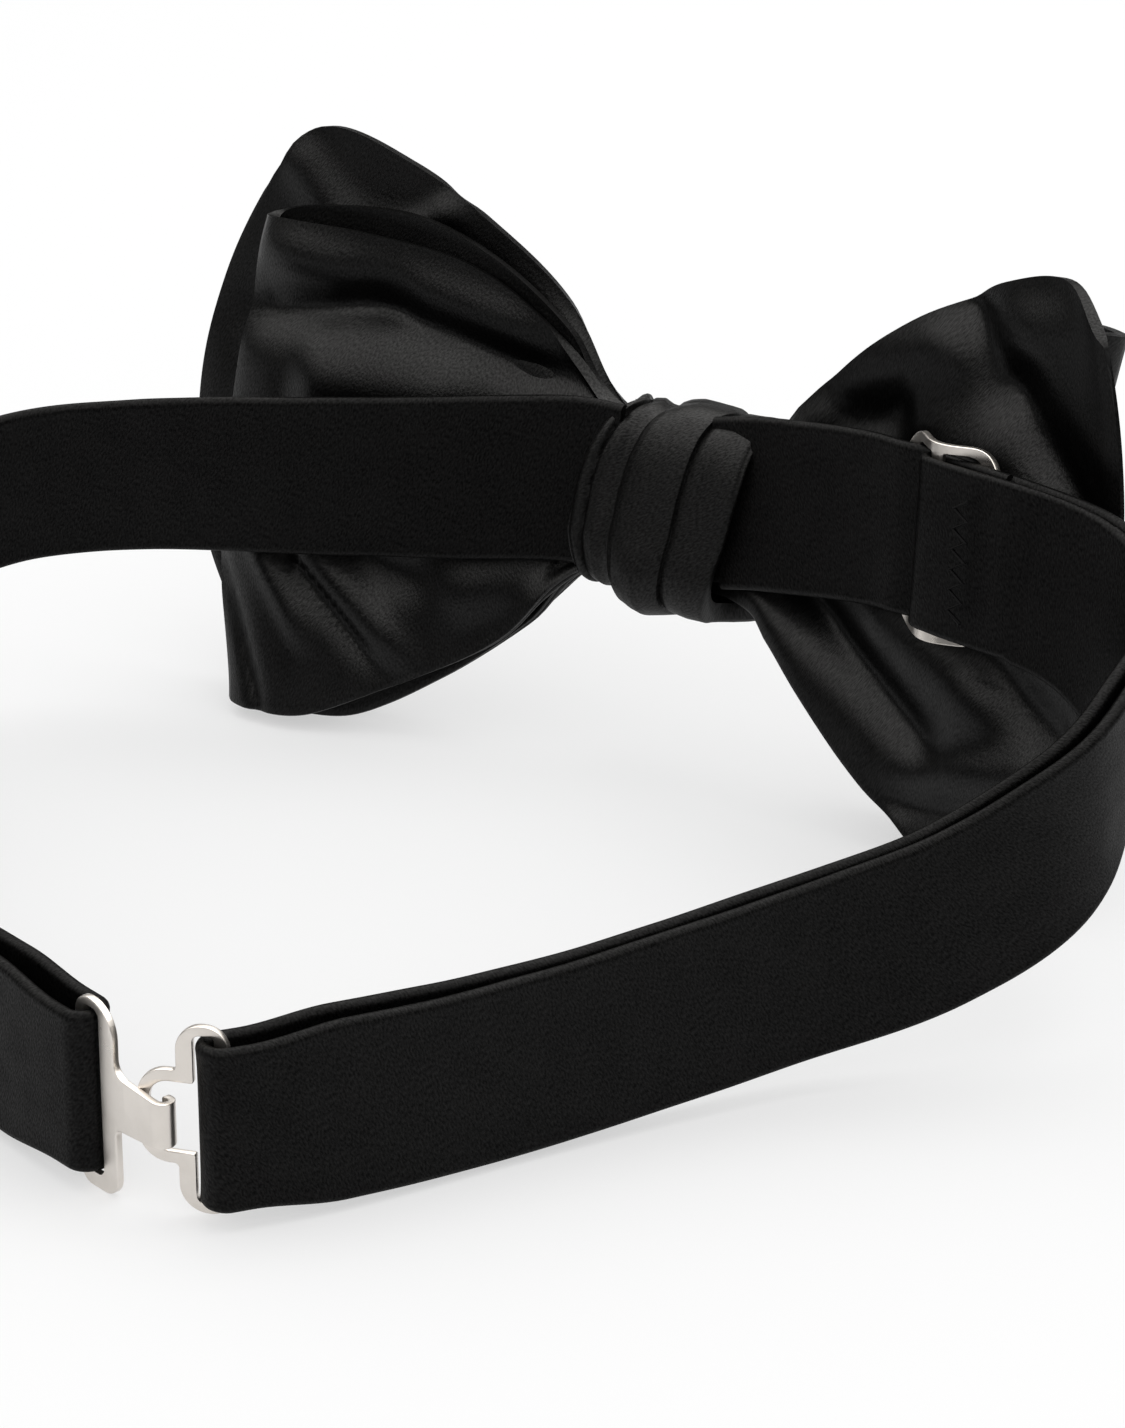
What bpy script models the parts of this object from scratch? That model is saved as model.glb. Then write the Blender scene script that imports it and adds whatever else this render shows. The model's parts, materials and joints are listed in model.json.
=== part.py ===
"""Pre-tied butterfly bow tie on an adjustable neckband, standing on its lower wing tips.

The bow is two folded silk ribbons pinched by a pleated knot wrap. The neckband passes through
the knot: its fixed arm ends in a hook, and its adjusting arm runs through a three-bar slider, round
an eye and back to the slider, where it is sewn on.

Frame: +Z up, +X to the wearer's left, front of the bow towards -Y, neckband towards +Y. Shapes are
worked out in millimetres from the floor straight below the knot, and the whole tie hangs from an
empty that puts the middle of its footprint on the frame's origin. MM turns millimetres into metres.
"""

import math

import bmesh
import bpy
import numpy as np
from mathutils import Matrix, Vector

MM = 0.001
MIDDLE_OF_FOOTPRINT = (2.668, 55.485, 0.0)  # measured from the floor below the knot

# Neckband
BAND_WIDTH = 20.0
STRAP = 1.6  # a satin tube pressed flat
SATIN = 0.4  # one layer of satin with its seam allowance
LINING = 0.3  # interlining inside the band
LINING_INSET = 1.2
LAYER_PITCH = 2.2  # outer to inner layer of the doubled adjusting arm
STATION_STEP = 4.5

# Bow
BOW_LEAN = 13.4  # degrees, the top towards -Y
KNOT_HEIGHT_ABOVE_FLOOR = 33.8
KNOT_WIDTH = 23.0
KNOT_HALF_HEIGHT = 11.8
KNOT_DROP = 1.6  # the wrap sits a little low on the ribbons' middle
KNOT_HALF_DEPTH = 7.6
KNOT_WALL = 1.2
RIBBON = 1.5
RIBBON_LINING = 0.3

# Along, behind and above the knot's centre, and half the neckband's width there
NECKBAND_IN_KNOT = (
    (-13.6, 5.3, 0.6, 9.4),
    (-11.8, 4.7, -0.6, 8.0),
    (-9.0, 4.1, -1.0, 8.2),
    (0.0, 3.95, -1.4, 8.8),
    (9.0, 4.0, -1.5, 8.9),
    (13.4, 4.8, -1.0, 9.6),
)
FIXED_START = 15.0  # along the bow, clear of the neckband's middle piece
ADJUSTING_START = 16.4

# Metal fittings
METAL = 0.8
BAR_WIDTH = 1.5
FOLD_CLEARANCE = 0.3
CLASP_SLOT = 18.6  # the band is squeezed a little where it passes the hook and the eye
SLIDER_SLOT = 20.6
SLIDER_HEIGHT = 23.0
SLIDER_WIDTH = 13.6
HOOK_HEIGHT = 22.0
HOOK_REACH = 12.8  # slot bar to the tip of the tongue
HOOK_SLOT_FAR = 3.0  # slot bar to the far side of the slot
TONGUE_WIDTH = 4.8
EYE_HEIGHT = 21.0
EYE_REACH = 8.9  # slot bar to the outside of the loop
EYE_SLOT_FAR = 3.1
EYE_WIRE = 1.2
LOOP_OPENING = 7.8

HOOK_TILT = 5.0  # degrees, the tongue's side outwards
HOOK_BEND = 1.0
MIDDLE_BAR_OFFSET = 2.85  # slider bars, to the neck side of the arm
SIDE_BAR_OFFSET = -1.8
SEWN_END = 1.0  # the strap end pressed thin round the slider's middle bar
SATIN_THIN = 0.33
END_FOLD_REACH = 1.6  # middle bar to the middle of the fold round it
END_FOLD_DEPTH = 1.2
EDGE_ROUND = 0.15
ARC_STEPS = 3
THREAD_RADIUS = 0.25

# Folds round the hook's and the eye's slot bars
FOLD_LAYER = 1.95  # room for the eye's bar, which stands askew in its fold
FOLD_REACH = BAR_WIDTH / 2 + FOLD_CLEARANCE + STRAP / 2
BAR_EASE = 26.0  # how far from the bar the two layers start to part
SQUEEZE_EASE = 12.0
FOLD_BACK = 27.0

# Room for travel
INNER_START = 20.6  # from the slider's middle to the fixed part of the inner layer
SLIDER_NEAR = (-39.3, 10.1, 39.7)
SWING_NEAR = (-74.0, 38.0, 27.5)
SWING_GAP = 1.2
INNER_SWING_GAP = 2.6
TILT_AXIS_POINT = (0.0, 3.9, 34.7)

# Neckband centre line: x, y, z and the angle in degrees that the top edge leans out of the loop
ADJUSTING_ARM = (
    (-6.0, 4.3, 34.8, 13.0),
    (-14.0, 5.0, 36.6, 11.0),
    (-30.0, 8.0, 39.2, 6.0),
    (-45.0, 11.6, 39.8, 5.0),
    (-61.0, 15.2, 38.6, 12.0),
    (-71.0, 22.0, 35.0, 12.0),
    (-74.2, 33.0, 30.0, 5.0),
    (-73.3, 43.0, 24.8, 2.0),
    (-66.0, 54.0, 18.4, 0.0),
    (-54.0, 67.6, 13.7, 0.0),
    (-39.7, 90.8, 10.8, 0.0),
    (-28.0, 110.0, 11.0, 0.0),
    (-21.1, 119.4, 11.0, 0.0),
)
FIXED_ARM = (
    (6.0, 4.3, 34.0, 9.0),
    (14.0, 5.2, 34.0, 8.0),
    (26.0, 11.2, 33.4, 4.0),
    (42.5, 19.2, 32.7, -2.0),
    (60.5, 26.1, 31.3, -7.0),
    (74.0, 36.0, 29.4, -7.0),
    (80.0, 52.0, 25.5, -5.0),
    (77.0, 70.0, 19.5, -2.0),
    (64.0, 88.0, 14.5, 0.0),
    (44.0, 102.0, 11.4, 0.0),
    (22.0, 112.0, 10.7, 0.0),
    (9.1, 116.6, 11.0, 0.0),
    (-4.7, 120.5, 11.0, 0.0),
)
HOOK_DIRECTION = 169.6  # degrees from +X, slot bar to tongue
EYE_DIRECTION = 17.6

# Ribbon centre lines in the bow's plane: distance along the bow, offset behind the knot's
# centre, middle height, half height, and how far the ribbon's middle bows out past its edges
BACK_RIBBON = (
    (-55.0, 10.2, -1.0, 29.0, -6.0),
    (-48.5, 7.2, -1.0, 34.8, -3.0),
    (-40.0, 5.0, -0.6, 33.4, 0.0),
    (-34.0, 4.2, -0.4, 31.0, 0.0),
    (-27.0, 3.5, 0.0, 27.0, 0.0),
    (-20.0, 2.7, 0.0, 20.6, 0.0),
    (-15.0, 2.2, -0.4, 14.4, 0.0),
    (-11.0, 1.95, -1.2, 9.6, 0.0),
    (0.0, 1.95, -1.6, 8.6, 0.0),
    (11.0, 1.95, -1.6, 9.6, 0.0),
    (20.0, 4.0, -2.4, 19.0, 0.0),
    (30.0, 6.8, -3.2, 25.0, 0.0),
    (42.0, 11.0, -5.6, 29.0, 0.0),
    (51.0, 12.4, -6.2, 29.6, 0.0),
    (55.5, 10.6, -6.2, 29.4, 2.5),
    (51.5, 8.4, -5.8, 30.2, 0.0),
    (39.0, 6.0, -5.0, 29.6, 0.0),
    (28.0, 3.9, -3.4, 24.6, 0.0),
    (18.0, 1.6, -2.2, 17.0, 0.0),
    (11.0, 0.0, -1.6, 9.6, 0.0),
    (-8.0, 0.0, -1.6, 8.6, 0.0),
)
FRONT_RIBBON = (
    (64.0, 3.6, -0.2, 25.0, 4.5),
    (55.0, 3.0, 0.2, 33.6, 3.0),
    (42.5, 1.6, 0.4, 31.0, 0.0),
    (31.0, 0.4, 0.2, 26.0, 0.0),
    (20.0, -1.0, -0.4, 19.0, 0.0),
    (11.0, -1.95, -1.6, 9.2, 0.0),
    (0.0, -1.95, -1.6, 8.6, 0.0),
    (-11.0, -1.95, -1.6, 9.2, 0.0),
    (-20.0, -0.9, -1.4, 19.0, 0.0),
    (-31.0, 0.6, -2.4, 27.0, 0.0),
    (-44.0, 1.8, -3.2, 30.6, 0.0),
    (-49.6, 0.4, -2.9, 30.8, 2.0),
    (-50.6, -2.9, -2.6, 30.4, 2.0),
    (-44.0, -5.6, -2.4, 30.2, 0.0),
    (-31.0, -6.8, -2.0, 26.4, 0.0),
    (-20.0, -5.8, -1.4, 18.6, 0.0),
    (-11.0, -3.9, -1.6, 9.2, 0.0),
    (8.0, -3.9, -1.6, 8.6, 0.0),
)

KNOT_CENTRE = Vector((0.0, 0.0, KNOT_HEIGHT_ABOVE_FLOOR))
UP = Vector((0.0, 0.0, 1.0))


# ---------------------------------------------------------------- scene and materials


def clear_scene():
    for obj in list(bpy.data.objects):
        bpy.data.objects.remove(obj, do_unlink=True)


def make_material(name, colour, roughness, metallic=0.0):
    material = bpy.data.materials.new(name)
    material.use_nodes = True
    shader = material.node_tree.nodes["Principled BSDF"]
    shader.inputs["Base Color"].default_value = (*colour, 1.0)
    shader.inputs["Roughness"].default_value = roughness
    shader.inputs["Metallic"].default_value = metallic
    material.diffuse_color = (*colour, 1.0)
    return material


def make_body(name, pivot=(0.0, 0.0, 0.0), parent=None):
    """An empty on a joint's axis, with a pivot measured from the floor below the knot."""
    empty = bpy.data.objects.new(name, None)
    empty["pivot"] = tuple(pivot)
    empty.parent = parent
    start = Vector(parent["pivot"] if parent else MIDDLE_OF_FOOTPRINT)
    empty.location = (Vector(pivot) - start) * MM
    PARTS.objects.link(empty)
    return empty


def add_piece(name, mesh, material, body):
    """Hangs a mesh made in millimetres, in the tie's frame, from its body's empty."""
    pivot = Vector(body["pivot"])
    mesh.transform(Matrix.Scale(MM, 4) @ Matrix.Translation(-pivot))
    mesh.materials.clear()
    mesh.materials.append(material)
    mesh.shade_smooth()
    mesh.set_sharp_from_angle(angle=math.radians(40.0))
    piece = bpy.data.objects.new(name, mesh)
    piece.parent = body
    PARTS.objects.link(piece)
    return piece


# ---------------------------------------------------------------- paths


def smooth_rows(rows, step):
    """A Catmull-Rom curve through rows whose first numbers are a point, sampled every step."""
    rows = np.array(rows, float)
    padded = np.vstack([2 * rows[0] - rows[1], rows, 2 * rows[-1] - rows[-2]])
    fine = []
    for a, b, c, d in zip(padded, padded[1:], padded[2:], padded[3:]):
        for u in np.linspace(0.0, 1.0, 16, endpoint=False):
            fine.append(
                0.5 * (2 * b + (c - a) * u + (2 * a - 5 * b + 4 * c - d) * u**2 + (3 * b - a - 3 * c + d) * u**3)
            )
    fine.append(rows[-1])
    fine = np.array(fine)
    size = 3 if rows.shape[1] == 4 else 2
    length = np.concatenate([[0.0], np.cumsum(np.linalg.norm(np.diff(fine[:, :size], axis=0), axis=1))])
    count = max(2, round(length[-1] / step) + 1)
    places = np.linspace(0.0, length[-1], count)
    return places, np.array([[np.interp(s, length, column) for column in fine.T] for s in places])


class Path:
    """A band's centre line, with its width direction and the direction towards the neck."""

    def __init__(self, rows, inside):
        self.places, self.rows = smooth_rows(rows, 1.0)
        self.length = self.places[-1]
        self.inside = inside  # +1 where the neck is to the right of the path, else -1

    def frame(self, s):
        """Point, tangent, width and neck-side directions s millimetres along."""
        point = Vector([np.interp(s, self.places, self.rows[:, k]) for k in range(3)])
        lean = math.radians(np.interp(s, self.places, self.rows[:, 3]))
        low, high = max(0.0, s - 1.5), min(self.length, s + 1.5)
        ends = [[np.interp(t, self.places, self.rows[:, k]) for k in range(3)] for t in (low, high)]
        tangent = (Vector(ends[1]) - Vector(ends[0])).normalized()
        neck = (tangent.cross(UP) * self.inside).normalized()
        width = UP * math.cos(lean) - neck * math.sin(lean)
        width = (width - tangent * width.dot(tangent)).normalized()
        neck = (tangent.cross(width) * self.inside).normalized()
        return point, tangent, width, neck

    def run(self, start, end, offset):
        """Frames (centre, width direction, thickness direction, half width), offset(s) to the neck side."""
        count = max(2, round(abs(end - start) / STATION_STEP) + 1)
        frames = []
        for s in np.linspace(start, end, count):
            point, _, width, neck = self.frame(s)
            frames.append((point + neck * offset(s), width, neck, self.half_width(s)))
        return frames

    def half_width(self, s):
        squeezed = BAND_WIDTH / 2 - CLASP_SLOT / 2 + FOLD_CLEARANCE
        return BAND_WIDTH / 2 - squeezed * ease(s, self.length - SQUEEZE_EASE, self.length - 2.0)

    def nearest(self, point):
        gaps = np.linalg.norm(self.rows[:, :3] - np.array(point), axis=1)
        return self.places[gaps.argmin()]


def turn_round_bar(path, layer, run_out, steps=6):
    """Frames of a strap folding round a bar at the end of its path, from the outer to the inner layer."""
    point, tangent, width, neck = path.frame(path.length)
    frames = []
    for angle in np.linspace(-90.0, 90.0, steps + 1)[1:-1]:
        radial = neck * math.sin(math.radians(angle)) + tangent * math.cos(math.radians(angle))
        centre = point + neck * layer * math.sin(math.radians(angle)) + tangent * run_out * math.cos(math.radians(angle))
        frames.append((centre, width, -radial, path.half_width(path.length)))
    return frames


def ease(s, start, end):
    """0 before start, 1 after end, and smooth between them."""
    u = min(1.0, max(0.0, (s - start) / (end - start)))
    return u * u * (3.0 - 2.0 * u)


# ---------------------------------------------------------------- lofts


def loft(sections, capped):
    """A mesh through closed sections with equal numbers of points, ends closed if capped.

    The two broad sides of a twisted strap are split along the same diagonals, so that they stay
    the same distance apart.
    """
    mesh = bpy.data.meshes.new("loft")
    work = bmesh.new()
    rings = [[work.verts.new(point) for point in section] for section in sections]
    for ring, following in zip(rings, rings[1:]):
        for k in range(len(ring)):
            after = (k + 1) % len(ring)
            a, b, c, d = ring[k], ring[after], following[after], following[k]
            if 2 * k < len(ring):
                work.faces.new((a, b, c))
                work.faces.new((a, c, d))
            else:
                work.faces.new((a, b, d))
                work.faces.new((b, c, d))
    if capped:
        work.faces.new(rings[0])
        work.faces.new(rings[-1])
    bmesh.ops.recalc_face_normals(work, faces=work.faces)
    if capped and work.calc_volume(signed=True) < 0.0:
        bmesh.ops.reverse_faces(work, faces=work.faces)
    work.to_mesh(mesh)
    work.free()
    return mesh


def flat_section(half_width, half_thickness, steps=2, rounded=True):
    """(across, through) points round a flattened tube."""
    inset = 0.6 * half_thickness if rounded else 0.0
    across = np.linspace(-1.0, 1.0, steps + 1) * (half_width - inset)
    points = [(x, -half_thickness) for x in across]
    if rounded:
        points.append((half_width, 0.0))
    points += [(x, half_thickness) for x in across[::-1]]
    if rounded:
        points.append((-half_width, 0.0))
    return points


def sewn_tube(name, sections, wall, material, body):
    """Satin sewn into a tube and pressed flat: an open surface with Solidify, open at both ends."""
    mesh = loft(sections, capped=False)
    middle = sum((Vector(point) for point in sections[0]), Vector()) / len(sections[0])
    first_ring = mesh.polygons[: 2 * len(sections[0])]
    if sum(polygon.area * polygon.normal.dot(polygon.center - middle) for polygon in first_ring) < 0.0:
        mesh.flip_normals()
    piece = add_piece(name, mesh, material, body)
    shell = piece.modifiers.new("Satin", "SOLIDIFY")
    shell.thickness = wall * MM
    shell.offset = -1.0
    shell.use_even_offset = True
    return piece


def strap_sections(frames, thickness, narrower=0.0):
    sections = []
    for centre, width, through, half in frames:
        section = flat_section(half - narrower, thickness / 2, rounded=not narrower)
        sections.append([centre + width * x + through * n for x, n in section])
    return sections


def strap(name, frames, body):
    """A length of neckband, and the interlining that stops a little short of its ends."""
    sewn_tube(name, strap_sections(frames, STRAP), SATIN, SATIN_BLACK, body)
    lining = strap_sections(frames[1:-1], LINING, narrower=LINING_INSET)
    add_piece(name + "_interlining", loft(lining, capped=True), CANVAS, body)


# ---------------------------------------------------------------- bow


LEAN = math.radians(BOW_LEAN)
BOW_UP = Vector((0.0, -math.sin(LEAN), math.cos(LEAN)))
BOW_REAR = Vector((0.0, math.cos(LEAN), math.sin(LEAN)))


def bow_point(along, up, rear):
    return KNOT_CENTRE + Vector((along, 0.0, 0.0)) + BOW_UP * up + BOW_REAR * rear


def ribbon_sections(rows, thickness, narrower=0.0, steps=4):
    """Sections of a ribbon whose centre line lies across the bow's plane."""
    sections = []
    for k, (along, rear, middle, half, bulge) in enumerate(rows):
        before, after = rows[max(0, k - 1)], rows[min(len(rows) - 1, k + 1)]
        tangent = np.array([after[0] - before[0], after[1] - before[1]])
        tangent = tangent / np.linalg.norm(tangent)
        normal = np.array([-tangent[1], tangent[0]])
        section = []
        for x, n in flat_section(half - narrower, thickness / 2, steps, rounded=not narrower):
            out = bulge * (1.0 - (x / half) ** 2)
            place = bow_point(along + normal[0] * n + out, middle + x, rear + normal[1] * n)
            section.append(place)
        sections.append(section)
    return sections


def make_ribbon(name, rows, body):
    """A ribbon from its flat end through the knot, out round its loop and back into the knot.

    Its interlining stops where the loop starts to turn, so that the fold stays soft.
    """
    rows = smooth_rows(rows, STATION_STEP)[1]
    sewn_tube(name, ribbon_sections(rows, RIBBON), SATIN, SATIN_BLACK, body)
    loop_end = int(np.argmax(np.abs(rows[:, 0] - rows[0, 0])))
    lining = ribbon_sections(rows[: loop_end - 1], RIBBON_LINING, narrower=LINING_INSET)[1:]
    add_piece(name + "_interlining", loft(lining, capped=True), CANVAS, body)


def sleeve_sections(half_width, half_height, half_depth, pleats):
    """Sections of a sleeve round the knot, from its wearer's right edge to its left edge."""
    sections = []
    for along in np.linspace(-half_width, half_width, 13):
        swell = pleats * (0.35 * math.cos(2.2 * math.pi * along / half_width) - 0.5 * (along / half_width) ** 4)
        section = []
        for angle in np.linspace(0.0, 2.0 * math.pi, 32, endpoint=False):
            across, through = math.cos(angle), math.sin(angle)
            reach = (abs(across) ** 4 + abs(through) ** 4) ** -0.25
            up = (half_height + swell) * reach * across - KNOT_DROP
            rear = (half_depth + swell) * reach * through
            section.append(bow_point(along, up, rear))
        sections.append(section)
    return sections


def make_knot(body):
    half = KNOT_WIDTH / 2
    sections = sleeve_sections(half, KNOT_HALF_HEIGHT, KNOT_HALF_DEPTH, pleats=0.6)
    sewn_tube("knot_wrap", sections, KNOT_WALL, SATIN_BLACK, body)
    row = [bow_point(x, -11.2, side) for x, side in zigzag(-6.0, 6.0, 1.5)]
    stitching("knot_tack", row, body)


def make_neckband_centre(body):
    """The neckband where the knot pinches it."""
    frames = []
    for along, rear, up, half in NECKBAND_IN_KNOT:
        frames.append((bow_point(along, up, rear), BOW_UP, BOW_REAR, half))
    strap("neckband_center", frames, body)


# ---------------------------------------------------------------- stitches


def zigzag(start, end, reach, pitch=1.2):
    """(along, across) corners of a zigzag."""
    count = round((end - start) / pitch)
    return [(start + k * (end - start) / count, reach * (-1) ** k) for k in range(count + 1)]


def stitching(name, points, body):
    """One thread through the given points."""
    curve = bpy.data.curves.new(name, "CURVE")
    curve.dimensions = "3D"
    curve.bevel_depth = THREAD_RADIUS * MM
    curve.bevel_resolution = 1
    curve.use_fill_caps = True
    thread = curve.splines.new("POLY")
    thread.points.add(len(points) - 1)
    pivot = Vector(body["pivot"])
    for knot, point in zip(thread.points, points):
        knot.co = (*((point - pivot) * MM), 1.0)
    curve.materials.append(THREAD_BLACK)
    piece = bpy.data.objects.new(name, curve)
    piece.parent = body
    PARTS.objects.link(piece)


# ---------------------------------------------------------------- neckband


def doubled_offset(path, near_bar, away):
    """Offset of a layer that runs at away and eases to near_bar at the bar ending the path."""
    return lambda s: away + (near_bar - away) * ease(s, path.length - BAR_EASE, path.length)


def folded_strap(path, start, back_to):
    """Frames of a strap from start to the bar that ends its path, round it and back to back_to."""
    outer = path.run(start, path.length, doubled_offset(path, -FOLD_LAYER, 0.0))
    turn = turn_round_bar(path, FOLD_LAYER, FOLD_REACH)
    inner = path.run(path.length, back_to, doubled_offset(path, FOLD_LAYER, LAYER_PITCH))
    return outer + turn + [(centre, width, -neck, half) for centre, width, neck, half in inner]


def make_fixed_arm(path, body):
    start = path.nearest(bow_point(FIXED_START, 0.0, 5.0))
    frames = folded_strap(path, start, path.length - FOLD_BACK)
    strap("fixed_arm", frames, body)
    place, tangent, width, neck = path.frame(path.length - FOLD_BACK + 4.0)
    above = LAYER_PITCH + STRAP / 2 + FOLD_CLEARANCE + THREAD_RADIUS
    row = [place + neck * above + width * w + tangent * t for w, t in zigzag(-7.0, 7.0, 1.2)]
    stitching("hook_fold_stitching", row, body)


def make_adjusting_arm(path, swing, body):
    """The outer layer from the knot to the swing, and the inner layer from the slider to it."""
    start = path.nearest(bow_point(-ADJUSTING_START, 1.0, 5.0))
    outer = path.run(start, swing - SWING_GAP / 2, lambda s: 0.0)
    strap("adjusting_arm", outer, body)
    inner = path.run(slider_place(path) + INNER_START, swing - INNER_SWING_GAP / 2, lambda s: LAYER_PITCH)
    strap("adjusting_inner_layer", inner, body)


def make_adjusting_end(path, swing, body):
    frames = folded_strap(path, swing + SWING_GAP / 2, swing + INNER_SWING_GAP / 2)
    strap("adjusting_end", frames, body)


# ---------------------------------------------------------------- metal fittings


def bar(start, end, width, thickness, wide):
    """A straight bar with rounded corners from start to end. wide is the direction of its width."""
    run = (end - start).normalized()
    through = run.cross(wide)
    section = flat_section(width / 2, thickness / 2)
    sections = [[place + wide * x + through * n for x, n in section] for place in (start, end)]
    return loft(sections, capped=True)


def swept_strip(points, wide, width, thickness):
    """A strip of even width through points that lie in the plane square to wide."""
    sections = []
    section = flat_section(width / 2, thickness / 2)
    for k, point in enumerate(points):
        before, after = points[max(0, k - 1)], points[min(len(points) - 1, k + 1)]
        through = (after - before).normalized().cross(wide)
        sections.append([point + wide * x + through * n for x, n in section])
    return loft(sections, capped=True)


def united(meshes):
    """The meshes joined by Boolean unions."""
    first = bpy.data.objects.new("joined", meshes[0])
    CUTTERS.objects.link(first)
    for mesh in meshes[1:]:
        other = bpy.data.objects.new("joining", mesh)
        CUTTERS.objects.link(other)
        union = first.modifiers.new("Union", "BOOLEAN")
        union.operation = "UNION"
        union.object = other
    graph = bpy.context.evaluated_depsgraph_get()
    mesh = bpy.data.meshes.new_from_object(first.evaluated_get(graph))
    for obj in list(CUTTERS.objects):
        bpy.data.objects.remove(obj, do_unlink=True)
    return mesh


def rounded_outline(corners):
    """Points of an outline given as (x, y, corner radius), its round corners as arcs."""
    points = []
    for k, (x, y, radius) in enumerate(corners):
        corner = Vector((x, y))
        if radius == 0.0:
            points.append(corner)
            continue
        before = (Vector(corners[k - 1][:2]) - corner).normalized()
        after = (Vector(corners[(k + 1) % len(corners)][:2]) - corner).normalized()
        half = before.angle(after) / 2
        reach = radius / math.tan(half)
        middle = corner + (before + after).normalized() * radius / math.sin(half)
        start = corner + before * reach - middle
        end = corner + after * reach - middle
        sweep = start.angle_signed(end)
        for u in np.linspace(0.0, 1.0, ARC_STEPS + 1):
            turned = start.copy()
            turned.rotate(Matrix.Rotation(-sweep * u, 2))
            points.append(middle + turned)
    return points


def stamped(outline, windows, place):
    """A plate cut from sheet metal with softened edges, put in place by a matrix."""
    curve = bpy.data.curves.new("plate", "CURVE")
    curve.dimensions = "2D"
    curve.fill_mode = "BOTH"
    curve.bevel_depth = EDGE_ROUND
    curve.bevel_resolution = 1
    curve.extrude = METAL / 2 - EDGE_ROUND
    curve.offset = -EDGE_ROUND
    for corners in [outline, *windows]:
        points = rounded_outline(corners)
        spline = curve.splines.new("POLY")
        spline.points.add(len(points) - 1)
        spline.use_cyclic_u = True
        for knot, point in zip(spline.points, points):
            knot.co = (point.x, point.y, 0.0, 1.0)
    helper = bpy.data.objects.new("plate", curve)
    CUTTERS.objects.link(helper)
    graph = bpy.context.evaluated_depsgraph_get()
    mesh = bpy.data.meshes.new_from_object(helper.evaluated_get(graph))
    bpy.data.objects.remove(helper, do_unlink=True)
    work = bmesh.new()
    work.from_mesh(mesh)
    bmesh.ops.remove_doubles(work, verts=work.verts, dist=1e-4)
    bmesh.ops.recalc_face_normals(work, faces=work.faces)
    work.to_mesh(mesh)
    work.free()
    mesh.transform(place)
    return mesh


def axes_at(origin, along, up, through):
    """The matrix that puts local x, y and z along the three directions at origin."""
    return Matrix.Translation(origin) @ Matrix((along, up, through)).transposed().to_4x4()


def slider_place(path):
    return path.nearest(SLIDER_NEAR)


def make_slider(path, body):
    """Three bars on arched rails: the outer bars pass outside the arm and the middle one inside."""
    origin, along, up, neck = path.frame(slider_place(path))
    frame = axes_at(origin, along, up, neck)
    at = lambda t, w, n: frame @ Vector((t, w, n))
    end_bar = SLIDER_WIDTH / 2 - BAR_WIDTH / 2
    half = SLIDER_HEIGHT / 2
    rail_middle = (SLIDER_SLOT / 2 + half) / 2
    rise = MIDDLE_BAR_OFFSET - SIDE_BAR_OFFSET
    pieces = []
    for side in (-1, 1):
        arch = []
        for t in np.linspace(-end_bar, end_bar, 13):
            lift = SIDE_BAR_OFFSET + rise * math.cos(math.pi * t / (2 * end_bar)) ** 2
            arch.append(at(t, side * rail_middle, lift))
        pieces.append(swept_strip(arch, up, half - SLIDER_SLOT / 2, METAL))
    for t, n in ((-end_bar, SIDE_BAR_OFFSET), (0.0, MIDDLE_BAR_OFFSET), (end_bar, SIDE_BAR_OFFSET)):
        pieces.append(bar(at(t, -rail_middle, n), at(t, rail_middle, n), BAR_WIDTH, METAL, along))
    add_piece("slider_frame", united(pieces), NICKEL, body)

    tail = [(t, MIDDLE_BAR_OFFSET - END_FOLD_DEPTH) for t in (10.0, 6.0, 2.0, 0.6)]
    turn = []
    for angle in np.radians(np.linspace(-75.0, 75.0, 6)):
        lift = MIDDLE_BAR_OFFSET + END_FOLD_DEPTH * math.sin(angle)
        turn.append((-END_FOLD_REACH * math.cos(angle), lift))
    over = [(0.6, 4.05), (3.0, 4.0), (7.0, 3.4), (10.5, 2.9), (13.0, 2.5), (15.0, 2.4)]
    run = [Vector(place) for place in tail + turn + over]
    frames = []
    for k, (t, n) in enumerate(run):
        course = (run[min(k + 1, len(run) - 1)] - run[max(0, k - 1)]).normalized()
        through = frame.to_3x3() @ Vector((-course.y, 0.0, course.x))
        frames.append((at(t, 0.0, n), up, through, BAND_WIDTH / 2))
    sewn_tube("slider_strap_end", strap_sections(frames, SEWN_END), SATIN_THIN, SATIN_BLACK, body)
    row = [at(7.0 + t, w, 4.5) for w, t in zigzag(-7.0, 7.0, 1.0)]
    stitching("slider_stitching", row, body)


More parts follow.
